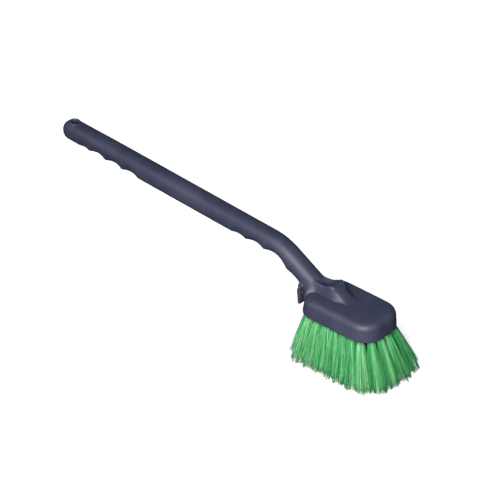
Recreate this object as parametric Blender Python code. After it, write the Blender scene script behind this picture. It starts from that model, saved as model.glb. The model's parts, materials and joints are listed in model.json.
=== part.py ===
"""A long-handled wheel brush: one moulded handle and block, staple-set with tufts of soft bristle.

Origin: the centre of the block's underside, where the tufts come out.
+X runs to the rounded front of the block, -X along the handle, +Y to one side, +Z up.
Every length is in metres.
"""

import math

import bpy
from mathutils import Matrix, Vector

MM = 0.001

# Block: the flat body that holds the tufts.
BLOCK_LENGTH = 110.5 * MM
BLOCK_WIDTH = 69 * MM
BLOCK_HEIGHT = 23 * MM
REAR_CORNER_RADIUS = 18.5 * MM
REAR_SHOULDER_RADIUS = 23 * MM
FRONT_CORNER_RADIUS = 26 * MM
TOP_EDGE_ROUND = 7.5 * MM
BOTTOM_EDGE_ROUND = 1.2 * MM
SIDE_DRAFT = 1.0 * MM
# The largest share of the half width that a corner of the block may round away.
LARGEST_CORNER_SHARE = 0.95

# Handle: a straight bar that rises gently to the back, and a neck that drops into the block.
TOTAL_LENGTH = 511 * MM
HANDLE_RISE = math.radians(3.25)
NECK_DROP = math.radians(30)
NECK_LENGTH = 61 * MM
NECK_BEND_RADIUS = 65 * MM
NECK_ROOT_FLOOR = 0.5 * MM
END_RADIUS = 12.7 * MM
HANDLE_RADIUS = 13.2 * MM
NECK_RADIUS = 13.3 * MM
END_TAPER_LENGTH = 80 * MM
SECTION_SQUARENESS = 2.3
PLAIN_STATIONS = 6
CAP_STEPS = 5

# Finger grooves under the handle, as (length along the bar, depth), from the block backwards.
FRONT_GROOVES = ((27 * MM, 1.6 * MM), (44 * MM, 3.4 * MM), (28 * MM, 3.0 * MM), (22 * MM, 1.8 * MM))
FRONT_GRIP_START = 9 * MM
REAR_GROOVES = ((27 * MM, 2.8 * MM), (27 * MM, 3.1 * MM), (27 * MM, 3.1 * MM), (16 * MM, 1.4 * MM))
REAR_GRIP_SETBACK = 19 * MM
GROOVE_EDGE = 0.35
GROOVE_BLEND = 0.9

# Hanging hole through the end of the handle, with a raised rim.
HANG_HOLE_DIAMETER = 9 * MM
HANG_HOLE_SETBACK = 15 * MM
HANG_RIM_WIDTH = 2.8 * MM
HANG_RIM_HEIGHT = 0.5 * MM
HANG_RIM_ROUND = 1.0 * MM
HANG_HOLE_FLARE = 1.2 * MM
HANG_HOLE_SIDES = 20
HANG_RIM_STEPS = 3

# Mound: carries the neck forward onto the block, with a thumb hollow behind its crest and a ramp
# in front. Each station, from the block's rear face and its top: distance, height of the rim and of
# the middle, half width at the rim and at the foot, and how far up the flank its shoulder is.
MOUND_STATIONS = (
    (-10 * MM, 15.5 * MM, 12.0 * MM, 6.0 * MM, 11.5 * MM, 0.82),
    (-2 * MM, 13.2 * MM, 9.0 * MM, 6.5 * MM, 12.4 * MM, 0.82),
    (6 * MM, 11.8 * MM, 7.6 * MM, 7.0 * MM, 12.8 * MM, 0.82),
    (13 * MM, 11.3 * MM, 7.0 * MM, 7.5 * MM, 13.0 * MM, 0.82),
    (20 * MM, 11.8 * MM, 7.4 * MM, 8.2 * MM, 13.0 * MM, 0.82),
    (26 * MM, 14.0 * MM, 10.5 * MM, 9.6 * MM, 13.0 * MM, 0.82),
    (32.5 * MM, 16.8 * MM, 15.4 * MM, 10.6 * MM, 13.0 * MM, 0.80),
    (36 * MM, 16.2 * MM, 15.6 * MM, 9.8 * MM, 12.9 * MM, 0.66),
    (39.5 * MM, 11.6 * MM, 11.4 * MM, 8.8 * MM, 12.7 * MM, 0.60),
    (44 * MM, 7.2 * MM, 7.2 * MM, 8.0 * MM, 12.3 * MM, 0.62),
    (50 * MM, 3.3 * MM, 3.3 * MM, 7.4 * MM, 11.7 * MM, 0.72),
    (56 * MM, 0.9 * MM, 0.9 * MM, 7.0 * MM, 11.0 * MM, 0.90),
    (62 * MM, -1.5 * MM, -1.5 * MM, 6.5 * MM, 10.0 * MM, 0.90),
)
MOUND_ROOT_DEPTH = 7 * MM
MOUND_FOOT_LIFT = 0.3 * MM

# Gussets: the webs between the neck's sides and the block's rear corners. Each station, from the
# block's rear face and its top: distance, half width at the bottom, level with the top and at the
# highest point, and that point's height.
GUSSET_STATIONS = (
    (-13 * MM, 11.5 * MM, 12.0 * MM, 10.0 * MM, 9.0 * MM),
    (-6 * MM, 14.5 * MM, 14.4 * MM, 11.0 * MM, 9.0 * MM),
    (-1 * MM, 20.0 * MM, 17.2 * MM, 11.4 * MM, 9.3 * MM),
    (3 * MM, 24.5 * MM, 18.6 * MM, 10.8 * MM, 9.0 * MM),
    (7.5 * MM, 21.0 * MM, 16.0 * MM, 10.2 * MM, 8.0 * MM),
    (12 * MM, 14.0 * MM, 12.6 * MM, 9.8 * MM, 6.0 * MM),
)
GUSSET_DEPTH = 9 * MM

# Pail hook: the lip under the neck, behind the block.
HOOK_WIDTH = 40 * MM
HOOK_GAP = 7 * MM
HOOK_TIP_THICKNESS = 4 * MM
HOOK_ROOT_THICKNESS = 7 * MM
HOOK_TIP_RISE = -0.4 * MM
HOOK_TOP_RISE = 2 * MM
HOOK_SLOT_ROOF = 14.3 * MM
HOOK_SLOT_SKIN = 0.3 * MM
HOOK_FACE_DROP = 0.3 * MM
HOOK_LEAN = 0.8 * MM
HOOK_TIP_HEIGHT = 1.2 * MM
HOOK_SHOULDER_DROP = 7 * MM
HOOK_ARM_DROP = 4 * MM
HOOK_CORNER = 1.5 * MM
HOOK_ROOT_CORNER = 6 * MM
HOOK_NECK_THICKNESS = 5 * MM
HOOK_SHOULDER_THICKNESS = 5.8 * MM
# Shares of the hook's width and thickness at its rounded tip, of its width at its root, and of its
# thickness that a corner may take.
HOOK_TIP_SHARES = (0.86, 0.6)
HOOK_ROOT_WIDTH = 0.97
HOOK_CORNER_SHARE = 0.45

# Tufts: folded bundles of filament, each held in a blind hole by a flat wire anchor.
OUTER_TUFTS = 22
INNER_ROWS = ((-33 * MM, 2), (-12 * MM, 2), (9 * MM, 2), (29 * MM, 1))
INNER_ROW_SPREAD = 20 * MM
TUFT_INSET = 7.5 * MM
HOLE_DIAMETER = 6.6 * MM
HOLE_DEPTH = 15 * MM
TUFT_CLEARANCE = 0.35 * MM
TRIM_LENGTH = 53.5 * MM
FRONT_TIP_SPREAD = 24 * MM
REAR_TIP_SPREAD = 5.5 * MM
SIDE_TIP_SPREAD = 16 * MM
INNER_TIP_RADIUS = 11 * MM
TIP_GAP = 0.5 * MM
SHOULDER_DEPTH = 12 * MM
COLLAR_DEPTH = 2.3 * MM

# Anchors: flat steel wire, driven into the hole across the fold of the tuft.
ANCHOR_LENGTH = 7.8 * MM
ANCHOR_HEIGHT = 2.4 * MM
ANCHOR_THICKNESS = 0.45 * MM
ANCHOR_CHAMFER = 0.5 * MM
ANCHOR_TURN = math.radians(0)
FOLD_THICKNESS = 1.6 * MM
ANCHOR_CLEARANCE = 0.3 * MM

# Facets, and how far a cutter runs past what it cuts.
BAR_SIDES = 28
CORNER_STEPS = 6
EDGE_STEPS = 5
WALK_STEPS = 24
TUFT_SIDES = 12
GROOVE_STEPS = 7
SMOOTH_ANGLE = math.radians(32)
CUT_MARGIN = 2 * MM

# Derived sizes.
# The neck runs on into the block until this much is left below it.
NECK_ROOT_DEPTH = (
    BLOCK_HEIGHT - NECK_ROOT_FLOOR - NECK_RADIUS * math.cos(NECK_DROP)
) / math.sin(NECK_DROP)
REAR_X = -BLOCK_LENGTH / 2
FRONT_X = BLOCK_LENGTH / 2
HOLE_RADIUS = HOLE_DIAMETER / 2
TUFT_RADIUS = HOLE_RADIUS - TUFT_CLEARANCE
TUFT_TOP = HOLE_DEPTH - TUFT_CLEARANCE
ANCHOR_TOP = TUFT_TOP - FOLD_THICKNESS - ANCHOR_CLEARANCE
SLOT_LENGTH = ANCHOR_LENGTH + 2 * ANCHOR_CLEARANCE
SLOT_WIDTH = ANCHOR_THICKNESS + 2 * ANCHOR_CLEARANCE


def clear_scene():
    for obj in list(bpy.data.objects):
        bpy.data.objects.remove(obj)


def material(name, colour, roughness, metallic=0.0):
    made = bpy.data.materials.new(name)
    made.use_nodes = True
    shader = made.node_tree.nodes["Principled BSDF"]
    shader.inputs["Base Color"].default_value = (*colour, 1)
    shader.inputs["Roughness"].default_value = roughness
    shader.inputs["Metallic"].default_value = metallic
    made.diffuse_color = (*colour, 1)
    return made


def add_object(name, points, faces, finish=None):
    mesh = bpy.data.meshes.new(name)
    mesh.from_pydata([tuple(p) for p in points], [], faces)
    mesh.validate()
    if finish:
        mesh.materials.append(finish)
    mesh.shade_smooth()
    mesh.set_sharp_from_angle(angle=SMOOTH_ANGLE)
    obj = bpy.data.objects.new(name, mesh)
    bpy.context.scene.collection.objects.link(obj)
    return obj


def as_helper(obj):
    """Keep a cutter or a joined shape out of the finished part."""
    obj.hide_render = True
    obj.display_type = "WIRE"
    return obj


def loft_faces(ring_count, sides, first=0):
    """Quads between successive rings that turn anticlockwise about their direction of travel."""
    faces = []
    for ring in range(ring_count - 1):
        start = first + ring * sides
        for side in range(sides):
            after = (side + 1) % sides
            faces.append((start + side, start + after, start + sides + after, start + sides + side))
    faces.append(tuple(first + side for side in reversed(range(sides))))
    last = first + (ring_count - 1) * sides
    faces.append(tuple(last + side for side in range(sides)))
    return faces


def loft(name, rings, finish=None):
    points = [point for ring in rings for point in ring]
    return add_object(name, points, loft_faces(len(rings), len(rings[0])), finish)


def boolean(obj, other, operation):
    step = obj.modifiers.new(other.name, "BOOLEAN")
    step.operation = operation
    step.object = other
    step.solver = "EXACT"


def smooth_step(value):
    value = min(max(value, 0.0), 1.0)
    return value * value * (3 - 2 * value)


# The bar: handle and neck as one sweep.


def handle_direction():
    return Vector((-math.cos(HANDLE_RISE), 0, math.sin(HANDLE_RISE)))


def neck_direction():
    return Vector((-math.cos(NECK_DROP), 0, math.sin(NECK_DROP)))


def bar_frames():
    """Return the bar's length and a function from distance to centre, direction and normal.

    Distance 0 is where the centre line crosses the top rear edge of the block.
    """
    start = Vector((REAR_X, 0, BLOCK_HEIGHT))
    back, down = handle_direction(), neck_direction()
    turn = NECK_DROP - HANDLE_RISE
    tangent = NECK_BEND_RADIUS * math.tan(turn / 2)
    bend_start = NECK_LENGTH - tangent
    bend_end = bend_start + NECK_BEND_RADIUS * turn
    bend_exit = start + down * NECK_LENGTH + back * tangent
    end_x = FRONT_X - TOTAL_LENGTH + END_RADIUS
    length = bend_end + (end_x - bend_exit.x) / back.x
    bend_centre = start + down * bend_start - Vector((down.z, 0, -down.x)) * NECK_BEND_RADIUS

    def frame(distance):
        if distance < bend_start:
            centre, along = start + down * distance, down
        elif distance < bend_end:
            angle = NECK_DROP - (distance - bend_start) / NECK_BEND_RADIUS
            along = Vector((-math.cos(angle), 0, math.sin(angle)))
            centre = bend_centre + Vector((along.z, 0, -along.x)) * NECK_BEND_RADIUS
        else:
            centre, along = bend_exit + back * (distance - bend_end), back
        return centre, along, Vector((along.z, 0, -along.x))

    return length, frame


def grooves_along(length):
    """Each finger groove as (start, end, depth) in distance along the bar."""
    found = []
    start = FRONT_GRIP_START
    for span, depth in FRONT_GROOVES:
        found.append((start, start + span, depth))
        start += span
    start = length - REAR_GRIP_SETBACK - sum(span for span, _ in REAR_GROOVES)
    for span, depth in REAR_GROOVES:
        found.append((start, start + span, depth))
        start += span
    return found


def groove_depth(distance, grooves):
    for start, end, depth in grooves:
        if start <= distance <= end:
            across = 2 * (distance - start) / (end - start) - 1
            return depth * (1 - across * across)
    return 0.0


def bar_radius(distance, length):
    to_handle = smooth_step(distance / (NECK_LENGTH * 2))
    radius = NECK_RADIUS + (HANDLE_RADIUS - NECK_RADIUS) * to_handle
    to_end = smooth_step((distance - length + END_TAPER_LENGTH) / END_TAPER_LENGTH)
    return radius + (END_RADIUS - radius) * to_end


def bar_ring(centre, normal, radius, depth):
    """A slightly squared section, pressed in by the groove depth round its lower side."""
    ring = []
    for side in range(BAR_SIDES):
        angle = 2 * math.pi * side / BAR_SIDES
        across, up = math.sin(angle), math.cos(angle)
        bulge = (abs(across) ** SECTION_SQUARENESS + abs(up) ** SECTION_SQUARENESS) ** (
            -1 / SECTION_SQUARENESS
        )
        pressed = depth * smooth_step((GROOVE_EDGE - up) / GROOVE_BLEND)
        reach = radius * bulge - pressed
        ring.append(centre + Vector((0, across, 0)) * reach + normal * up * reach)
    return ring


def bar_stations(length, grooves):
    stations = [-NECK_ROOT_DEPTH, -NECK_ROOT_DEPTH / 2, 0.0]
    for start, end, _ in grooves:
        stations += [start + (end - start) * step / GROOVE_STEPS for step in range(GROOVE_STEPS + 1)]
    first_rear = min(start for start, _, _ in grooves[len(FRONT_GROOVES):])
    last_front = max(end for _, end, _ in grooves[:len(FRONT_GROOVES)])
    gap = (first_rear - last_front) / PLAIN_STATIONS
    stations += [last_front + gap * step for step in range(1, PLAIN_STATIONS)]
    stations += [length - REAR_GRIP_SETBACK / 2, length]
    return sorted(set(round(value, 7) for value in stations))


def handle_bar():
    length, frame = bar_frames()
    grooves = grooves_along(length)
    rings = []
    for distance in bar_stations(length, grooves):
        centre, _, normal = frame(distance)
        radius, depth = bar_radius(distance, length), groove_depth(distance, grooves)
        rings.append(bar_ring(centre, normal, radius, depth))
    centre, along, normal = frame(length)
    for step in range(1, CAP_STEPS):
        angle = math.pi / 2 * step / CAP_STEPS
        cap_centre = centre + along * END_RADIUS * math.sin(angle)
        rings.append(bar_ring(cap_centre, normal, END_RADIUS * math.cos(angle), 0))
    return loft("handle_bar", rings)


# The block and the forms that join it to the neck.


def block_outline(inset, rear_radius, corner_steps=CORNER_STEPS):
    """The block's outline in plan, drawn in by an inset, anticlockwise from the front."""
    half = BLOCK_WIDTH / 2 - inset
    back, nose = REAR_X + inset, FRONT_X - inset
    widest = half * LARGEST_CORNER_SHARE
    rear_radius, front_radius = min(rear_radius, widest), min(FRONT_CORNER_RADIUS - inset, widest)
    corners = (
        (nose - front_radius, half - front_radius, front_radius, 0),
        (back + rear_radius, half - rear_radius, rear_radius, 90),
        (back + rear_radius, rear_radius - half, rear_radius, 180),
        (nose - front_radius, front_radius - half, front_radius, 270),
    )
    outline = []
    for x, y, radius, first in corners:
        for step in range(corner_steps + 1):
            angle = math.radians(first + 90 * step / corner_steps)
            outline.append((x + radius * math.cos(angle), y + radius * math.sin(angle)))
    return outline


def block_body():
    """The block: drafted sides, a rounded top edge, and rear corners that soften as they rise."""
    levels = [(BOTTOM_EDGE_ROUND, 0.0), (0.0, BOTTOM_EDGE_ROUND)]
    for step in range(EDGE_STEPS + 1):
        angle = math.pi / 2 * step / EDGE_STEPS
        inset = SIDE_DRAFT + TOP_EDGE_ROUND * (1 - math.cos(angle))
        levels.append((inset, BLOCK_HEIGHT - TOP_EDGE_ROUND * (1 - math.sin(angle))))
    soften = REAR_SHOULDER_RADIUS - REAR_CORNER_RADIUS
    rings = []
    for inset, z in levels:
        rear_radius = REAR_CORNER_RADIUS + soften * (z / BLOCK_HEIGHT) ** 2
        rings.append([Vector((x, y, z)) for x, y in block_outline(inset, rear_radius)])
    return loft("block_body", rings)


def mirrored_section(x, profile):
    """A ring across X from (half width, height) points, which run from one foot to the middle."""
    near = [Vector((x, -y, z)) for y, z in profile]
    far = [Vector((x, y, z)) for y, z in reversed(profile) if y > 0]
    return near + far


def mound():
    """The mound from inside the neck, past the thumb hollow and the crest, down the ramp."""
    buried = BLOCK_HEIGHT - MOUND_ROOT_DEPTH
    rings = []
    for distance, rim_rise, middle_rise, half_rim, half_foot, shoulder in MOUND_STATIONS:
        rim, middle = BLOCK_HEIGHT + rim_rise, BLOCK_HEIGHT + middle_rise
        foot = min(BLOCK_HEIGHT + MOUND_FOOT_LIFT, (buried + rim) / 2)
        profile = (
            (half_foot, buried),
            (half_foot, foot),
            ((half_rim + half_foot) / 2, buried + (rim - buried) * shoulder),
            (half_rim, rim),
            (half_rim / 2, middle + (rim - middle) / 3),
            (0, middle),
        )
        rings.append(mirrored_section(REAR_X + distance, profile))
    return loft("mound", rings)


def gussets():
    """Webs that spread from the sides of the neck to the rear corners of the block."""
    rings = []
    for distance, half_bottom, half_level, half_top, rise in GUSSET_STATIONS:
        profile = (
            (half_bottom, BLOCK_HEIGHT - GUSSET_DEPTH),
            ((half_bottom + half_level) / 2, BLOCK_HEIGHT - GUSSET_DEPTH / 2),
            (half_level, BLOCK_HEIGHT),
            ((half_level + half_top) / 2, BLOCK_HEIGHT + rise / 2),
            (half_top, BLOCK_HEIGHT + rise),
            (0, BLOCK_HEIGHT + rise),
        )
        rings.append(mirrored_section(REAR_X + distance, profile))
    return loft("gussets", rings)


def pail_hook():
    """The lip behind the block: a plate across the neck, thick at its root and thin at its tip."""
    tip_z, root_z = HOOK_TIP_RISE, BLOCK_HEIGHT + HOOK_TOP_RISE
    face, half = REAR_X - HOOK_GAP, HOOK_WIDTH / 2
    tip_width, tip_share = HOOK_TIP_SHARES
    tip_inset = HOOK_TIP_THICKNESS * (1 - tip_share) / 2
    plain, cut = HOOK_CORNER, HOOK_ROOT_CORNER
    levels = (
        (tip_z, half * tip_width, face - HOOK_TIP_THICKNESS + tip_inset, face - tip_inset, plain),
        (tip_z + HOOK_TIP_HEIGHT, half, face - HOOK_TIP_THICKNESS, face, plain),
        (HOOK_SLOT_ROOF - HOOK_FACE_DROP, half, face - HOOK_NECK_THICKNESS, face, plain),
        (root_z - HOOK_SHOULDER_DROP, half, face - HOOK_SHOULDER_THICKNESS, face - HOOK_LEAN, plain),
        (root_z - HOOK_ARM_DROP, half, face - HOOK_SHOULDER_THICKNESS, face - HOOK_LEAN, cut),
        (root_z, half * HOOK_ROOT_WIDTH, face - HOOK_ROOT_THICKNESS, face - HOOK_LEAN, cut),
    )
    rings = []
    for z, reach, back, front, wanted in levels:
        corner = min(HOOK_CORNER, (front - back) * HOOK_CORNER_SHARE)
        rear = max(corner, min(wanted, front - back - corner))
        outline = (
            (front, -reach + corner), (front, reach - corner), (front - corner, reach),
            (back + rear, reach), (back, reach - rear), (back, -reach + rear),
            (back + rear, -reach), (front - corner, -reach),
        )
        rings.append([Vector((x, y, z)) for x, y in outline])
    return loft("pail_hook", rings)


def hook_slot():
    """The square-roofed slot between the hook and the block, cut through the neck's underside."""
    back, front, half = REAR_X - HOOK_GAP, REAR_X - HOOK_SLOT_SKIN, BLOCK_WIDTH / 2
    outline = ((front, -half), (front, half), (back, half), (back, -half))
    return as_helper(prisms("hook_slot", [(outline, -BLOCK_HEIGHT, HOOK_SLOT_ROOF)]))


def turned(profile, sides):
    """A closed ring of revolution about Z from (radius, height) points, all off the axis."""
    points, faces = [], []
    count = len(profile)
    for step in range(sides):
        angle = 2 * math.pi * step / sides
        points += [Vector((r * math.cos(angle), r * math.sin(angle), z)) for r, z in profile]
    for step in range(sides):
        here, after = step * count, (step + 1) % sides * count
        for k in range(count):
            n = (k + 1) % count
            faces.append((here + k, after + k, after + n, here + n))
    return points, faces


def hang_place():
    """Where the hanging hole crosses the centre line, and the upright turned square to the bar."""
    length, frame = bar_frames()
    centre, _, normal = frame(length + END_RADIUS - HANG_HOLE_SETBACK)
    return Matrix.Translation(centre) @ Vector((0, 0, 1)).rotation_difference(normal).to_matrix().to_4x4()


def hang_rim():
    """The raised ring round the hanging hole, on the upper side only."""
    hole = HANG_HOLE_DIAMETER / 2
    inner, outer, root = hole / 2, hole + HANG_RIM_WIDTH, END_RADIUS / 2
    top = END_RADIUS + HANG_RIM_HEIGHT
    edge = []
    for step in range(HANG_RIM_STEPS + 1):
        angle = math.pi / 2 * step / HANG_RIM_STEPS
        out, up = math.cos(angle) - 1, math.sin(angle) - 1
        edge.append((outer + HANG_RIM_ROUND * out, top + HANG_RIM_ROUND * up))
    profile = ((inner, root), (outer, root), *edge, (inner, top))
    points, faces = turned(profile, HANG_HOLE_SIDES)
    place = hang_place()
    return add_object("hang_rim", [place @ p for p in points], faces)


def hang_hole():
    """The hanging hole, flared where it leaves each side."""
    radius = HANG_HOLE_DIAMETER / 2
    flare = radius + HANG_HOLE_FLARE
    low, high = END_RADIUS, END_RADIUS + HANG_RIM_HEIGHT
    levels = (
        (flare, -low - CUT_MARGIN), (flare, -low), (radius, -low + HANG_HOLE_FLARE),
        (radius, high - HANG_HOLE_FLARE), (flare, high), (flare, high + CUT_MARGIN),
    )
    turns = [2 * math.pi * step / HANG_HOLE_SIDES for step in range(HANG_HOLE_SIDES)]
    place = hang_place()
    rings = [[place @ Vector((r * math.cos(a), r * math.sin(a), z)) for a in turns] for r, z in levels]
    return as_helper(loft("hang_hole", rings))


# The tufts and their anchors.


def outline_walk(outline, count):
    """Evenly spaced points along a closed outline, starting at the middle of its front."""
    start = ((outline[0][0] + outline[-1][0]) / 2, (outline[0][1] + outline[-1][1]) / 2)
    loop = [start, *outline, start]
    spans = [math.dist(a, b) for a, b in zip(loop, loop[1:])]
    total = sum(spans)
    places = []
    for index in range(count):
        left = total * (index + 0.5) / count
        for (ax, ay), (bx, by), span in zip(loop, loop[1:], spans):
            if left <= span:
                share = left / span
                places.append((ax + (bx - ax) * share, ay + (by - ay) * share))
                break
            left -= span
    return places, total / count


def tuft_layout():
    """Each tuft as (name, root, tip, tip radius): an outer ring and a staggered inner field."""
    outline = block_outline(TUFT_INSET, REAR_CORNER_RADIUS - TUFT_INSET, WALK_STEPS)
    ring, pitch = outline_walk(outline, OUTER_TUFTS)
    root_half_x, root_half_y = BLOCK_LENGTH / 2 - TUFT_INSET, BLOCK_WIDTH / 2 - TUFT_INSET
    tip_length = BLOCK_LENGTH + FRONT_TIP_SPREAD + REAR_TIP_SPREAD
    tip_radius = (pitch * tip_length / (2 * root_half_x) - TIP_GAP) / (2 + pitch / root_half_x)
    spread_x = (tip_length / 2 - tip_radius) / root_half_x
    spread_y = (BLOCK_WIDTH / 2 + SIDE_TIP_SPREAD - tip_radius) / root_half_y
    shift = (FRONT_TIP_SPREAD - REAR_TIP_SPREAD) / 2
    inner = [
        (x, (row - (rows - 1) / 2) * INNER_ROW_SPREAD) for x, rows in INNER_ROWS for row in range(rows)
    ]
    layout = []
    for kind, places, radius in (("outer", ring, tip_radius), ("inner", inner, INNER_TIP_RADIUS)):
        for number, (x, y) in enumerate(places, start=1):
            layout.append((f"{kind}_{number:02d}", (x, y), (x * spread_x + shift, y * spread_y), radius))
    return layout


def tuft_level_radius(depth, tip_radius):
    """Radius of the bundle at a depth: straight for a collar, quick to open, then slow to spread."""
    shoulder = (TUFT_RADIUS + tip_radius) / 2
    if depth <= COLLAR_DEPTH:
        return TUFT_RADIUS
    if depth < SHOULDER_DEPTH:
        share = (depth - COLLAR_DEPTH) / (SHOULDER_DEPTH - COLLAR_DEPTH)
        return TUFT_RADIUS + (shoulder - TUFT_RADIUS) * share
    return shoulder + (tip_radius - shoulder) * (depth - SHOULDER_DEPTH) / (TRIM_LENGTH - SHOULDER_DEPTH)


def tuft(name, root, tip, tip_radius, windows, finish):
    rings = []
    for depth in (TRIM_LENGTH, SHOULDER_DEPTH, COLLAR_DEPTH, -TUFT_TOP):
        share = max(depth - COLLAR_DEPTH, 0.0) / (TRIM_LENGTH - COLLAR_DEPTH)
        x = root[0] + (tip[0] - root[0]) * share
        y = root[1] + (tip[1] - root[1]) * share
        radius = tuft_level_radius(depth, tip_radius)
        rings.append([
            Vector((x + radius * math.cos(a), y + radius * math.sin(a), -depth))
            for a in (2 * math.pi * side / TUFT_SIDES for side in range(TUFT_SIDES))
        ])
    made = loft(f"tuft_{name}", rings, finish)
    boolean(made, windows, "DIFFERENCE")
    return made


def turned_to_anchor(x, y, along, across):
    """A point given along and across an anchor, in plan."""
    c, s = math.cos(ANCHOR_TURN), math.sin(ANCHOR_TURN)
    return x + along * c - across * s, y + along * s + across * c


def prisms(name, outlines, finish=None):
    """Upright prisms in one mesh, each from its plan outline, bottom and top."""
    points, faces = [], []
    for outline, bottom, top in outlines:
        first = len(points)
        points += [Vector((x, y, z)) for z in (bottom, top) for x, y in outline]
        faces += loft_faces(2, len(outline), first)
    return add_object(name, points, faces, finish)


def hole_outline(x, y):
    """A round hole with the two grooves that the anchor's ends press into its wall."""
    half_width, half_length = SLOT_WIDTH / 2, SLOT_LENGTH / 2
    first = math.asin(half_width / HOLE_RADIUS)
    arc = []
    steps = TUFT_SIDES // 2
    for step in range(steps + 1):
        angle = first + (math.pi - 2 * first) * step / steps
        arc.append((HOLE_RADIUS * math.cos(angle), HOLE_RADIUS * math.sin(angle)))
    half = [(half_length, half_width), *arc, (-half_length, half_width)]
    outline = half + [(-a, -b) for a, b in half]
    return [turned_to_anchor(x, y, along, across) for along, across in outline]


def window_outline(x, y):
    half_width, half_length = SLOT_WIDTH / 2, SLOT_LENGTH / 2
    corners = ((half_length, -half_width), (half_length, half_width),
               (-half_length, half_width), (-half_length, -half_width))
    return [turned_to_anchor(x, y, along, across) for along, across in corners]


def anchor(name, x, y, finish):
    """A flat wire plate on edge, with its two leading corners taken off."""
    half, low = ANCHOR_LENGTH / 2, ANCHOR_TOP - ANCHOR_HEIGHT
    cut = ANCHOR_CHAMFER
    plate = ((-half, low), (half, low), (half, ANCHOR_TOP - cut), (half - cut, ANCHOR_TOP),
             (-half + cut, ANCHOR_TOP), (-half, ANCHOR_TOP - cut))
    rings = []
    for across in (ANCHOR_THICKNESS / 2, -ANCHOR_THICKNESS / 2):
        rings.append([Vector((*turned_to_anchor(x, y, along, across), z)) for along, z in plate])
    return loft(f"anchor_{name}", rings, finish)


def moulding(layout, finish):
    """Handle, neck, block and hook as the single moulding that they are."""
    body = block_body()
    body.name = "handle_and_block"
    body.data.materials.append(finish)
    for shape in (gussets(), pail_hook(), mound(), handle_bar(), hang_rim()):
        boolean(body, as_helper(shape), "UNION")
    boolean(body, hook_slot(), "DIFFERENCE")
    holes = [(hole_outline(*root), -HOLE_DEPTH, HOLE_DEPTH) for _, root, _, _ in layout]
    boolean(body, as_helper(prisms("tuft_holes", holes)), "DIFFERENCE")
    boolean(body, hang_hole(), "DIFFERENCE")
    return body


def build():
    clear_scene()
    plastic = material("moulded_plastic", (0.045, 0.05, 0.085), 0.42)
    filament = material("green_filament", (0.12, 0.62, 0.22), 0.5)
    steel = material("anchor_wire", (0.7, 0.7, 0.68), 0.35, 1.0)
    layout = tuft_layout()
    moulding(layout, plastic)
    opening = (ANCHOR_TOP - ANCHOR_HEIGHT - ANCHOR_CLEARANCE, ANCHOR_TOP + ANCHOR_CLEARANCE)
    outlines = [(window_outline(*root), *opening) for _, root, _, _ in layout]
    windows = as_helper(prisms("anchor_windows", outlines))
    for name, root, tip, tip_radius in layout:
        tuft(name, root, tip, tip_radius, windows, filament)
        anchor(name, *root, steel)


build()
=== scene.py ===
# %% [markdown]
# # A long-handled wheel brush
# The brush is one moulding of dark plastic, from the hanging hole to the block, with tufts of
# soft green filament set in the block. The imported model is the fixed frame: it says where every
# part is. This lesson turns its plain solids into moulded plastic, steel wire and loose strands.

# %% Load the frame
import json
import math

import bpy
import numpy as np
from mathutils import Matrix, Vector


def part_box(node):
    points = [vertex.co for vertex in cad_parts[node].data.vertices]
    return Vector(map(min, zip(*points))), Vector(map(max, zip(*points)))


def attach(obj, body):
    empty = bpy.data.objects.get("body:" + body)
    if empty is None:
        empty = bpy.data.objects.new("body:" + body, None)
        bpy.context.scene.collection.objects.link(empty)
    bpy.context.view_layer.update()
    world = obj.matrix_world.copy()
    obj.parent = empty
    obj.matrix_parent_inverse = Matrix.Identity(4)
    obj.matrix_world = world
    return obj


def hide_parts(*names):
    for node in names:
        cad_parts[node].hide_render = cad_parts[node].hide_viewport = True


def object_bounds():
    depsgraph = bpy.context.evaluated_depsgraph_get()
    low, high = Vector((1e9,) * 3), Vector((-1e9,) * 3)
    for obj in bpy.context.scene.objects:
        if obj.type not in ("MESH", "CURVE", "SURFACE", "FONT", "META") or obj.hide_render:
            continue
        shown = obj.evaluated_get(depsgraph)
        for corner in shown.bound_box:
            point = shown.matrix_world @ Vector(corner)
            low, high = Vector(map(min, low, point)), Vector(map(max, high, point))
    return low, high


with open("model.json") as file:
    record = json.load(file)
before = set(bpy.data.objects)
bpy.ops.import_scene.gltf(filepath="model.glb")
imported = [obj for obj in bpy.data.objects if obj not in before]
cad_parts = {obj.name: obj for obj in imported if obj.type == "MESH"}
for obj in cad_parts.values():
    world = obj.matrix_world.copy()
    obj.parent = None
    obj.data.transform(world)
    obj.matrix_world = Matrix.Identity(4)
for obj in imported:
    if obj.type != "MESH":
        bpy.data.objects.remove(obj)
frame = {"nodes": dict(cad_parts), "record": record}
cad_low, cad_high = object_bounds()
nodes = frame["nodes"]
tuft_nodes = sorted(name for name in nodes if name.startswith("tuft_"))
anchor_nodes = sorted(name for name in nodes if name.startswith("anchor_"))
print("tufts", len(tuft_nodes), "anchors", len(anchor_nodes))
print("box", [round(v, 4) for v in (*cad_low, *cad_high)])

# %% [markdown]
# The camera comes first, so that everything can be judged through it. It looks down on the brush
# from in front and to one side, through a very long lens, so lines that are parallel on the brush
# stay nearly parallel in the picture. It is turned a little about its own axis, as a camera held
# by hand or a tripod that isn't quite level would be.

# %% Camera
AZIMUTH = math.radians(41.0)
ELEVATION = math.radians(34.55)
DISTANCE = 5.0
LENS = 302.3
SENSOR = 36.0
CLIP = (0.5, 50.0)
TARGET = Vector((-0.16535, 0.0097, 0.0161))
ROLL = math.radians(0.37)


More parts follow.
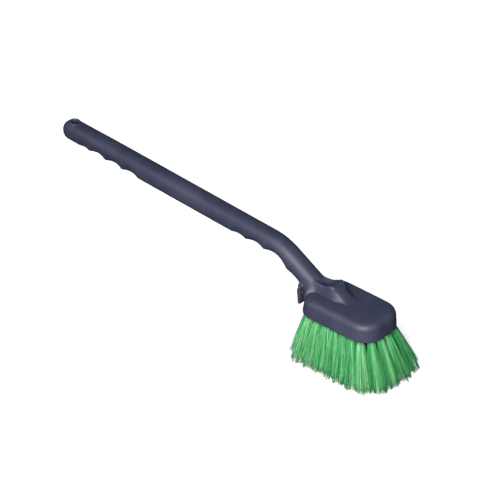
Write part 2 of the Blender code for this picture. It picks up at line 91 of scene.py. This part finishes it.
def add_camera():
    away = Vector((
        math.sin(AZIMUTH) * math.cos(ELEVATION),
        -math.cos(AZIMUTH) * math.cos(ELEVATION),
        math.sin(ELEVATION),
    ))
    data = bpy.data.cameras.new("camera")
    data.lens, data.sensor_width = LENS, SENSOR
    data.clip_start, data.clip_end = CLIP
    camera = bpy.data.objects.new("camera", data)
    bpy.context.scene.collection.objects.link(camera)
    camera.location = TARGET + away * DISTANCE
    turn = (-away).to_track_quat("-Z", "Y").to_matrix().to_4x4()
    camera.rotation_euler = turn.to_euler()
    camera.rotation_euler.rotate_axis("Z", ROLL)
    return camera


bpy.context.scene.camera = add_camera()
print("camera", [round(v, 3) for v in bpy.context.scene.camera.location])

# %% [markdown]
# ## Materials as sums
# A material's pattern is arithmetic on numbers that change over the surface. The class below
# wraps one socket of a node, so that the sum can be written as it is thought, and Blender's Math
# nodes are made behind it.

# %% A socket with arithmetic


class Wire:
    """One output socket of a material, with arithmetic that adds Math nodes."""

    def __init__(self, tree, socket):
        self.tree, self.socket = tree, socket

    def node(self, kind, settings=(), output=0, **inputs):
        """Any node: its type, its settings, then its sockets' values or links."""
        return add_node(self.tree, kind, dict(settings), inputs, output)

    def math(self, operation, *values, clamp=False):
        made = self.tree.nodes.new("ShaderNodeMath")
        made.operation, made.use_clamp = operation, clamp
        for socket, value in zip(made.inputs, values):
            plug(self.tree, socket, value)
        return Wire(self.tree, made.outputs[0])

    def __add__(self, other):
        return self.math("ADD", self, other)

    def __sub__(self, other):
        return self.math("SUBTRACT", self, other)

    def __rsub__(self, other):
        return self.math("SUBTRACT", other, self)

    def __mul__(self, other):
        return self.math("MULTIPLY", self, other)

    __radd__, __rmul__ = __add__, __mul__

    def clamp(self):
        return self.math("ADD", self, 0.0, clamp=True)

    def smooth(self, low, high):
        """0 below low, 1 above high, and an even curve between."""
        return self.node("ShaderNodeMapRange", {"interpolation_type": "SMOOTHSTEP"},
                         Value=self, **{"From Min": low, "From Max": high})


def plug(tree, socket, value):
    """Link a wire to a socket, or set the socket to a number or a colour."""
    if isinstance(value, Wire):
        tree.links.new(value.socket, socket)
    elif socket.type == "RGBA":
        socket.default_value = (*value, 1.0)
    else:
        socket.default_value = value


print("arithmetic on sockets ready")

# %% [markdown]
# A few nodes are wanted again and again, so each has a short name: noise, a mix of two colours, a
# bump, and the place on the object. Object coordinates are used throughout, because every piece
# here stands at the origin, so that they are metres in the frame.

# %% Short names for nodes


def add_node(tree, kind, settings, inputs, output=0):
    made = tree.nodes.new(kind)
    stops = settings.pop("stops", None)
    for name, value in settings.items():
        setattr(made, name, value)
    if stops:
        ramp = made.color_ramp
        while len(ramp.elements) < len(stops):
            ramp.elements.new(0.5)
        for element, (place, colour) in zip(ramp.elements, stops):
            element.position, element.color = place, (*colour, 1.0)
    for name, value in inputs.items():
        plug(tree, made.inputs[name], value)
    return Wire(tree, made.outputs[output])


def new_material(name, **constants):
    """A Principled material with its constant sockets set, and its tree and shader."""
    made = bpy.data.materials.new(name)
    made.use_nodes = True
    shader = made.node_tree.nodes["Principled BSDF"]
    for socket, value in constants.items():
        plug(made.node_tree, shader.inputs[socket.replace("_", " ")], value)
    return made, made.node_tree, shader


def place_on_object(tree):
    """Object coordinates, which are metres in the frame for every piece here."""
    return add_node(tree, "ShaderNodeTexCoord", {}, {}, output=3)


def attribute(tree, name):
    """A number kept at each corner of the mesh."""
    return add_node(tree, "ShaderNodeAttribute", {"attribute_name": name}, {}, output=2)


def noise(tree, vector, scale, detail=2.0, roughness=0.5):
    return add_node(tree, "ShaderNodeTexNoise", {},
                    {"Vector": vector, "Scale": scale, "Detail": detail, "Roughness": roughness})


def mix(tree, factor, first, second):
    """A colour between two colours, through the Mix node's colour sockets."""
    made = tree.nodes.new("ShaderNodeMix")
    made.data_type = "RGBA"
    plug(tree, made.inputs[0], factor)
    plug(tree, made.inputs[6], first)
    plug(tree, made.inputs[7], second)
    return Wire(tree, made.outputs[2])


def bump(tree, height, strength, distance):
    return add_node(tree, "ShaderNodeBump", {},
                    {"Strength": strength, "Distance": distance, "Height": height})


print("shader helpers ready")

# %% [markdown]
# ## The plastic
# The handle is structural polypropylene, foamed inside, in a dark slate that leans to blue. Such
# a moulding has a fine sparked grain all over, faint swirls where the melt cooled unevenly, and a
# soft sheen. Its grain is a bump far too small to see one by one, which spreads the highlights.
# Hands and pails rub the ridges paler and smoother, and the creases are darkened with painted
# shade, standing in for the shade that falls in them. Both follow a number called edge, which a
# later cell keeps at each point of the mesh.

# %% Plastic
DYE_DEEP, DYE_PALE = (0.026, 0.030, 0.060), (0.037, 0.041, 0.074)
# The second colour on the next line is painted shade: creases are darkened towards it, standing in
# for the shade that falls in them.
WORN_PLASTIC, CREASE_PAINTED_SHADE = (0.10, 0.105, 0.135), (0.006, 0.007, 0.018)
WORN_SHARE, CREASE_SHADE_SHARE = 0.35, 0.75
SWIRL_SCALE, CLOUD_SCALE, DIMPLE_SCALE, GRAIN_SCALE = 22.0, 70.0, 420.0, 1500.0
SHEEN = 0.52
GRAIN_STRENGTH, GRAIN_DEPTH = 0.35, 0.00012


def moulded_plastic():
    made, tree, shader = new_material("moulded_plastic_finish", IOR=1.49, Specular_IOR_Level=0.5)
    place = place_on_object(tree)
    swirl = noise(tree, place, SWIRL_SCALE, 4.0, 0.6)
    cloud = noise(tree, place, CLOUD_SCALE, 3.0, 0.55)
    grain = noise(tree, place, GRAIN_SCALE, 2.0, 0.6)
    dimple = noise(tree, place, DIMPLE_SCALE, 2.0, 0.5)
    tone = (swirl * 0.6 + cloud * 0.4).smooth(0.35, 0.65)
    dyed = mix(tree, tone, DYE_DEEP, DYE_PALE)
    edge = attribute(tree, "edge")
    worn = edge.smooth(0.25, 0.9) * (0.45 + cloud * 0.5)
    # Painted shade: the crease mask darkens the colour in the creases, standing in for the shade
    # that falls there.
    crease = (0.0 - edge).smooth(0.2, 0.85)
    colour = mix(tree, worn * WORN_SHARE, dyed, WORN_PLASTIC)
    colour = mix(tree, crease * CREASE_SHADE_SHARE, colour, CREASE_PAINTED_SHADE)
    plug(tree, shader.inputs["Base Color"], colour)
    rough = SHEEN + (cloud - 0.5) * 0.16 + (grain - 0.5) * 0.1 - worn * 0.1
    plug(tree, shader.inputs["Roughness"], rough)
    relief = grain * 0.5 + dimple * 0.5
    plug(tree, shader.inputs["Normal"], bump(tree, relief, GRAIN_STRENGTH, GRAIN_DEPTH))
    return made


plastic = moulded_plastic()
print("material", plastic.name)

# %% [markdown]
# ## The moulding
# A real moulding has no sharp inside corner: every place where the neck, the mound, the webs and
# the block meet is a soft fillet. The solid's own mesh gives the form. The helpers below do what
# a modeller does by hand: copy the solid, join its loose triangles, add a modifier and apply it.

# %% Modelling helpers
MERGE_DISTANCE = 1e-6


def deselect_all():
    bpy.ops.object.select_all(action="DESELECT")


def make_active(obj):
    deselect_all()
    obj.select_set(True)
    bpy.context.view_layer.objects.active = obj


def apply_modifier(obj, kind, **settings):
    step = obj.modifiers.new(kind.lower(), kind)
    for name, value in settings.items():
        setattr(step, name, value)
    make_active(obj)
    bpy.ops.object.modifier_apply(modifier=step.name)


def merged_copy(node, name):
    """A copy of a CAD node with its loose triangles joined into one skin."""
    copy = bpy.data.objects.new(name, nodes[node].data.copy())
    bpy.context.scene.collection.objects.link(copy)
    make_active(copy)
    bpy.ops.object.mode_set(mode="EDIT")
    bpy.ops.mesh.select_all(action="SELECT")
    bpy.ops.mesh.remove_doubles(threshold=MERGE_DISTANCE)
    bpy.ops.object.mode_set(mode="OBJECT")
    copy.data.materials.clear()
    return copy


print("modelling helpers ready")

# %% [markdown]
# The copy is rebuilt as an even skin of small squares by a voxel remesh, and relaxed until its
# corners are round. The ramp in front of the mound and the webs beside the neck are softer still
# on the real moulding. A vertex group says where they are, and only they are relaxed again.

# %% Softening the moulding
VOXEL = 0.00085
RELAX_STEP = 0.5
RELAX_ROUNDS = 5
SOFT_ROUNDS = 120
HOOK_GAP = 0.007
RAMP_START = 0.037
WEB_REACH = 0.013
WEB_RISE = 0.010
CREASE_KEPT = 0.0015
BLEND = 0.004

mounts = {mount["name"]: mount for mount in frame["record"]["mounts"]}
block_top = mounts["block_top"]["pos_m"][2]
block_rear = mounts["pail_hook_face"]["pos_m"][0] + HOOK_GAP


def softness(point):
    """0 where the form stays crisp, 1 well on the ramp or on the webs beside the neck."""
    along, rise = point.x - block_rear, point.z - block_top
    ramp = min((along - RAMP_START) / BLEND, rise / BLEND)
    web = min((along + WEB_REACH) / BLEND, (WEB_REACH - along) / BLEND,
              (rise - CREASE_KEPT) / BLEND, (WEB_RISE - rise) / BLEND)
    return min(max(ramp, web, 0.0), 1.0)


def soft_moulding():
    body = merged_copy("handle_and_block", "handle_and_block_skin")
    apply_modifier(body, "REMESH", mode="VOXEL", voxel_size=VOXEL, use_smooth_shade=True)
    apply_modifier(body, "SMOOTH", factor=RELAX_STEP, iterations=RELAX_ROUNDS)
    soft = body.vertex_groups.new(name="soft")
    for vertex in body.data.vertices:
        weight = softness(vertex.co)
        if weight:
            soft.add([vertex.index], weight, "REPLACE")
    apply_modifier(body, "SMOOTH", factor=RELAX_STEP, iterations=SOFT_ROUNDS, vertex_group="soft")
    body.vertex_groups.clear()
    body.data.materials.append(plastic)
    return body


body = soft_moulding()
print("moulding faces", len(body.data.polygons))

# %% [markdown]
# Wear and the painted shade in the creases need to know where the ridges and the creases are. A
# point on a ridge stands above the middle of its neighbours, and a point in a crease lies below
# it. That height, spread a little over the skin, becomes the number edge, which the plastic reads.

# %% Ridges and creases
EDGE_SPREAD = 2
EDGE_REST = 0.012
EDGE_FULL = 0.11


def mark_edges(obj):
    """Keep each point's roundness as the number edge: 1 on a sharp ridge, -1 in a crease."""
    mesh = obj.data
    count = len(mesh.vertices)
    points, normals = np.empty(count * 3), np.empty(count * 3)
    mesh.vertices.foreach_get("co", points)
    mesh.vertices.foreach_get("normal", normals)
    points, normals = points.reshape(-1, 3), normals.reshape(-1, 3)
    ends = np.empty(len(mesh.edges) * 2, np.int32)
    mesh.edges.foreach_get("vertices", ends)
    first, second = ends.reshape(-1, 2).T
    near = np.bincount(ends, minlength=count)

    def over_neighbours(values):
        to_first = np.bincount(first, values[second], count)
        return (to_first + np.bincount(second, values[first], count)) / near

    middle = np.stack([over_neighbours(points[:, axis]) for axis in range(3)], 1)
    bend = ((points - middle) * normals).sum(1) / VOXEL
    for _ in range(EDGE_SPREAD):
        bend = (bend + over_neighbours(bend)) / 2
    edge = np.clip((bend - EDGE_REST) / EDGE_FULL, -1, 1)
    kept = mesh.attributes.new("edge", "FLOAT", "POINT")
    kept.data.foreach_set("value", edge.astype(np.float32))
    print("edge from", round(float(bend.min()), 3), "to", round(float(bend.max()), 3))


mark_edges(body)
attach(body, "root")
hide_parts("handle_and_block")

# %% [markdown]
# ## The wire
# Each tuft is held by a flat steel anchor across its fold. It is hidden deep in its hole, but it
# is a real piece. Drawn steel wire is bright, with fine lines along its length. The lines are
# noise that is stretched along the wire by shrinking its scale in that direction.

# %% Steel wire
WIRE_STRETCH = (60.0, 3000.0, 3000.0)
STEEL_DARK, STEEL_PALE = (0.52, 0.52, 0.5), (0.72, 0.71, 0.68)
LINE_STRENGTH, LINE_DEPTH = 0.2, 0.00005


def drawn_wire():
    made, tree, shader = new_material("anchor_wire_finish", Metallic=1.0)
    place = place_on_object(tree)
    stretched = add_node(tree, "ShaderNodeMapping", {}, {"Vector": place, "Scale": WIRE_STRETCH})
    lines = noise(tree, stretched, 1.0, 2.0, 0.5)
    plug(tree, shader.inputs["Base Color"], mix(tree, lines, STEEL_DARK, STEEL_PALE))
    plug(tree, shader.inputs["Roughness"], 0.26 + lines * 0.2)
    plug(tree, shader.inputs["Normal"], bump(tree, lines, LINE_STRENGTH, LINE_DEPTH))
    return made


wire = drawn_wire()
for name in anchor_nodes:
    for slot in nodes[name].material_slots:
        slot.material = wire
print("wire on", len(anchor_nodes), "anchors")

# %% [markdown]
# ## The strands
# The strands are soft plastic filament, dyed through. Pale ones catch the light, and all of them
# are darker down between the tufts, where little light reaches. Each strand keeps one shade in
# its UV map: U is its shade, and V runs from its root to its tip.

# %% Filament
GREEN_SHADES = (
    (0.0, (0.019, 0.25, 0.066)), (0.35, (0.060, 0.42, 0.135)),
    (0.7, (0.17, 0.60, 0.25)), (1.0, (0.62, 0.86, 0.58)),
)
ROOT_GREEN, ROOT_DEPTH = (0.006, 0.075, 0.025), 0.82
ROOT_RANGE = (0.09, 0.25)
STREAK_SCALE, STREAK_SHARE = 260.0, 0.25


def green_filament():
    made, tree, shader = new_material("green_filament_finish", Roughness=0.5, IOR=1.5)
    uv = add_node(tree, "ShaderNodeUVMap", {"uv_map": "strand"}, {})
    parts = tree.nodes.new("ShaderNodeSeparateXYZ")
    plug(tree, parts.inputs[0], uv)
    shade, along = Wire(tree, parts.outputs[0]), Wire(tree, parts.outputs[1])
    streak = noise(tree, place_on_object(tree), STREAK_SCALE, 2.0, 0.5)
    level = (shade + (streak - 0.5) * STREAK_SHARE).clamp()
    dyed = add_node(tree, "ShaderNodeValToRGB", {"stops": GREEN_SHADES}, {"Fac": level})
    root = 1 - along.smooth(*ROOT_RANGE)
    plug(tree, shader.inputs["Base Color"], mix(tree, root * ROOT_DEPTH, dyed, ROOT_GREEN))
    plug(tree, shader.inputs["Roughness"], 0.42 + shade * 0.16)
    return made


filament = green_filament()
print("material", filament.name)

# %% [markdown]
# One strand is modelled by hand: a thin three-sided bar, standing on its root and cut into a few
# lengths so that it can bend. It is narrowed to a finer tip when it is planted, as soft filament
# is after its ends are flagged.

# %% One strand
STRAND_LENGTHS = 7
STRAND_SIDES = 3


def one_strand():
    """A bar one metre high and of radius one, which each place scales to its own size."""
    deselect_all()
    bpy.ops.mesh.primitive_cylinder_add(
        vertices=STRAND_SIDES, radius=1.0, depth=1.0, location=(0, 0, 0.5))
    bar = bpy.context.active_object
    bpy.ops.object.transform_apply(location=True)
    bpy.ops.object.mode_set(mode="EDIT")
    for level in range(1, STRAND_LENGTHS):
        bpy.ops.mesh.select_all(action="SELECT")
        bpy.ops.mesh.bisect(plane_co=(0, 0, level / STRAND_LENGTHS), plane_no=(0, 0, 1))
    bpy.ops.object.mode_set(mode="OBJECT")
    return bar


bar = one_strand()
bar_points = np.array([tuple(v.co) for v in bar.data.vertices])
bar_faces = [tuple(p.vertices) for p in bar.data.polygons]
bar_mesh = bar.data
bpy.data.objects.remove(bar)
bpy.data.meshes.remove(bar_mesh)
print("strand", len(bar_points), "points", len(bar_faces), "faces")

# %% [markdown]
# A tuft's solid says where its strands go: the ring at its foot and the ring at its top, deep in
# the hole, give their middles and their spread. Strands are set in the hole like pencils in a
# cup. Each keeps its place in the bundle on the way down.

# %% Reading a tuft's place
SAME_HEIGHT = 1e-5


def level_ring(name, height):
    """Middle and radius of a tuft's solid at one of the heights where it has corners."""
    points = np.array([tuple(v.co) for v in nodes[name].data.vertices])
    points = points[np.abs(points[:, 2] - height) < SAME_HEIGHT][:, :2]
    low, high = points.min(0), points.max(0)
    return (low + high) / 2, float((high - low).mean() / 2)


tuft_places = {}
for name in tuft_nodes:
    low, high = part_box(name)
    (root, root_radius), (tip, tip_radius) = level_ring(name, high.z), level_ring(name, low.z)
    tuft_places[name] = (root, root_radius, tip, tip_radius)
trim_level = min(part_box(name)[0].z for name in tuft_nodes)
print("trim", round(-trim_level * 1000, 1), "mm; root radius", round(root_radius * 1000, 2))

# %% [markdown]
# The strands' places are drawn at random with a fixed seed, so that the brush is the same each
# time. Real filament gathers into locks, so strands near one another share a lean, a length and
# a shade, and each adds a little of its own. A few strays lean well out of the bundle.

# %% Lines of the strands
LOCKS = 60
LOCK_PULL = 0.45
RIM_CROWDING = 0.42
ROOT_SHARE = 0.95
FULLNESS = 1.5
OPENING = 0.85
LEAN = 0.0009
STRAY_SHARE = 0.02
STRAY_LEAN = 0.0045
HELD_DEPTH = 0.004
EXTRA_LENGTH = 0.0012
LENGTH_SPREAD = 0.0007
LENGTH_RANGE = (-0.0014, 0.005)
SHADE_LOW, SHADE_OF_LOCK, SHADE_OWN, SHADE_OF_STRAY = 0.04, 0.72, 0.14, 0.3
SHADE_RANGE = (0.02, 0.98)
WAVE_SIZE = 0.00035
WAVE_TURNS, WAVE_TURNS_MORE = 2.2, 1.6
WAVE_OUT_OF_STEP = 1.7
STRAND_LEVELS = np.array([0.0, 0.09, 0.18, 0.31, 0.47, 0.65, 0.83, 1.0])


def disc(random, count):
    """Places in a disc of radius one, a little closer together towards its rim."""
    radius, turn = random.random(count) ** RIM_CROWDING, random.random(count) * 2 * np.pi
    return np.stack([radius * np.cos(turn), radius * np.sin(turn)], 1)


def strand_lines(random, root, root_radius, tip, tip_radius, count):
    """Centre lines of a tuft's strands as (strand, level, xyz), with a shade for each."""
    lock_places, places = disc(random, LOCKS), disc(random, count)
    lock = np.argmin(((places[:, None] - lock_places[None]) ** 2).sum(2), axis=1)
    gathered = places + (lock_places[lock] - places) * LOCK_PULL
    lean = random.normal(0, LEAN, (LOCKS, 2))[lock] + random.normal(0, LEAN, (count, 2))
    stray = random.random(count) < STRAY_SHARE
    lean += random.normal(0, STRAY_LEAN, (count, 2)) * stray[:, None]
    trim = random.normal(0, LENGTH_SPREAD, LOCKS)[lock] + random.normal(0, LENGTH_SPREAD, count)
    shade = SHADE_LOW + SHADE_OF_LOCK * random.random(LOCKS)[lock]
    shade = shade + random.normal(0, SHADE_OWN, count) + SHADE_OF_STRAY * stray
    levels = STRAND_LEVELS[None, :, None]
    middle = root + (tip - root) * levels
    spread_root = (places * root_radius * ROOT_SHARE)[:, None]
    spread_tip = (gathered * tip_radius * FULLNESS + lean)[:, None]
    opening = spread_root + (spread_tip - spread_root) * levels**OPENING
    tip_height = trim_level - EXTRA_LENGTH + np.clip(trim, *LENGTH_RANGE)
    drop = HELD_DEPTH + (tip_height - HELD_DEPTH)[:, None] * STRAND_LEVELS
    line = np.concatenate([middle + opening, drop[:, :, None]], 2)
    phase = random.random((count, 1)) * 2 * np.pi
    turns = WAVE_TURNS + random.random((count, 1)) * WAVE_TURNS_MORE
    size = WAVE_SIZE * STRAND_LEVELS * (0.5 + random.random((count, 1)))
    line[:, :, 0] += size * np.sin(phase + turns * np.pi * STRAND_LEVELS)
    line[:, :, 1] += size * np.cos(phase * WAVE_OUT_OF_STEP + turns * np.pi * STRAND_LEVELS)
    return line, np.clip(shade, *SHADE_RANGE)


print("levels of a strand", len(STRAND_LEVELS))

# %% [markdown]
# All the strands of one tuft are one mesh. The hand-made bar is set on each line, level by level,
# and the shade of its strand and its height go into the UV map. The inner tufts show their tips
# most, from below, so they have more strands.

# %% Planting the strands
STRANDS_OUTER = 420
STRANDS_INNER = 480
STRAND_RADIUS = 0.00019
TIP_SHARE = 0.72
FIRST_SEED = 400


def plant(name, line, shade):
    """One mesh of strands: the hand-made bar, bent along every line."""
    count, per = len(line), len(bar_points)
    level = np.clip(np.rint(bar_points[:, 2] * STRAND_LENGTHS).astype(int), 0, STRAND_LENGTHS)
    width = STRAND_RADIUS * (1 - (1 - TIP_SHARE) * (bar_points[:, 2] ** 3))
    points = line[:, level, :].copy()
    points[:, :, 0] += bar_points[:, 0] * width
    points[:, :, 1] += bar_points[:, 1] * width
    faces = [tuple(corner + strand * per for corner in face)
             for strand in range(count) for face in bar_faces]
    mesh = bpy.data.meshes.new(name)
    mesh.from_pydata(points.reshape(-1, 3).tolist(), [], faces)
    uv = mesh.uv_layers.new(name="strand")
    corners = np.empty(len(mesh.loops), np.int32)
    mesh.loops.foreach_get("vertex_index", corners)
    values = np.stack([shade[corners // per], bar_points[corners % per, 2]], 1)
    uv.data.foreach_set("uv", values.astype(np.float32).ravel())
    mesh.materials.append(filament)
    mesh.shade_smooth()
    made = bpy.data.objects.new(name, mesh)
    bpy.context.scene.collection.objects.link(made)
    return made


strand_total = 0
for order, name in enumerate(tuft_nodes):
    random = np.random.default_rng(FIRST_SEED + order)
    count = STRANDS_INNER if "inner" in name else STRANDS_OUTER
    line, shade = strand_lines(random, *tuft_places[name], count)
    tuft = plant(name.replace("tuft_", "strands_"), line, shade)
    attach(tuft, "root")
    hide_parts(name)
    strand_total += count
print("strands", strand_total)

# %% [markdown]
# ## The studio
# A pale floor lies just below the strands. It glows a little, as a lit paper sweep does, so that
# it stays white to its edges. It is hidden from reflections and from bounced light, because its
# glow would fill the dark underside and rims of the brush, which a small studio leaves dark.

# %% Floor
FLOOR_SIZE = 8.0
FLOOR_DROP = 0.003
FLOOR_GLOW = 0.55


def pale_floor():
    deselect_all()
    bpy.ops.mesh.primitive_plane_add(size=FLOOR_SIZE, location=(0, 0, cad_low.z - FLOOR_DROP))
    floor = bpy.context.active_object
    floor.name = "studio_floor"
    made, tree, shader = new_material(
        "studio_paper", Roughness=0.9, Base_Color=(0.9, 0.9, 0.9),
        Emission_Color=(1.0, 1.0, 1.0), Emission_Strength=FLOOR_GLOW,
    )
    floor.data.materials.append(made)
    floor.visible_glossy = False
    floor.visible_diffuse = False
    return floor


print("floor at", round(pale_floor().data.vertices[0].co.z, 4))

# %% [markdown]
# The light is soft and comes from the viewer's side. One broad warm panel stands low in front of
# the head, a larger one hangs above it, and a weak one on the left reaches the far end of the
# handle. A faint blue dome fills the shadows, so that surfaces turned away go navy, not black.

# %% Lights
WARM = (1.0, 0.965, 0.89)
WHITE = (1.0, 1.0, 1.0)
HEAD = (-0.02, 0.0, 0.0)
HANDLE = (-0.25, 0.0, 0.05)
DOME_BLUE, DOME_STRENGTH = (0.45, 0.62, 1, 1), 0.12


def panel(name, place, aim, size, power, colour):
    """A square area light at a place, turned to face a point."""
    data = bpy.data.lights.new(name, "AREA")
    data.shape, data.size, data.energy, data.color = "SQUARE", size, power, colour
    lamp = bpy.data.objects.new(name, data)
    lamp.location = place
    lamp.rotation_euler = (Vector(aim) - Vector(place)).to_track_quat("-Z", "Y").to_euler()
    bpy.context.scene.collection.objects.link(lamp)


panel("key_panel", (0.42, -0.86, 0.42), HEAD, 0.8, 13, WARM)
panel("side_panel", (-1.6, -1.2, 1.1), HANDLE, 1.2, 6, WHITE)
panel("top_panel", (0.5, -1.15, 1.25), HEAD, 1.2, 38, WARM)
world = bpy.data.worlds.new("studio")
world.use_nodes = True
background = world.node_tree.nodes["Background"]
background.inputs["Color"].default_value = DOME_BLUE
background.inputs["Strength"].default_value = DOME_STRENGTH
bpy.context.scene.world = world
bpy.context.scene.view_settings.view_transform = "Standard"
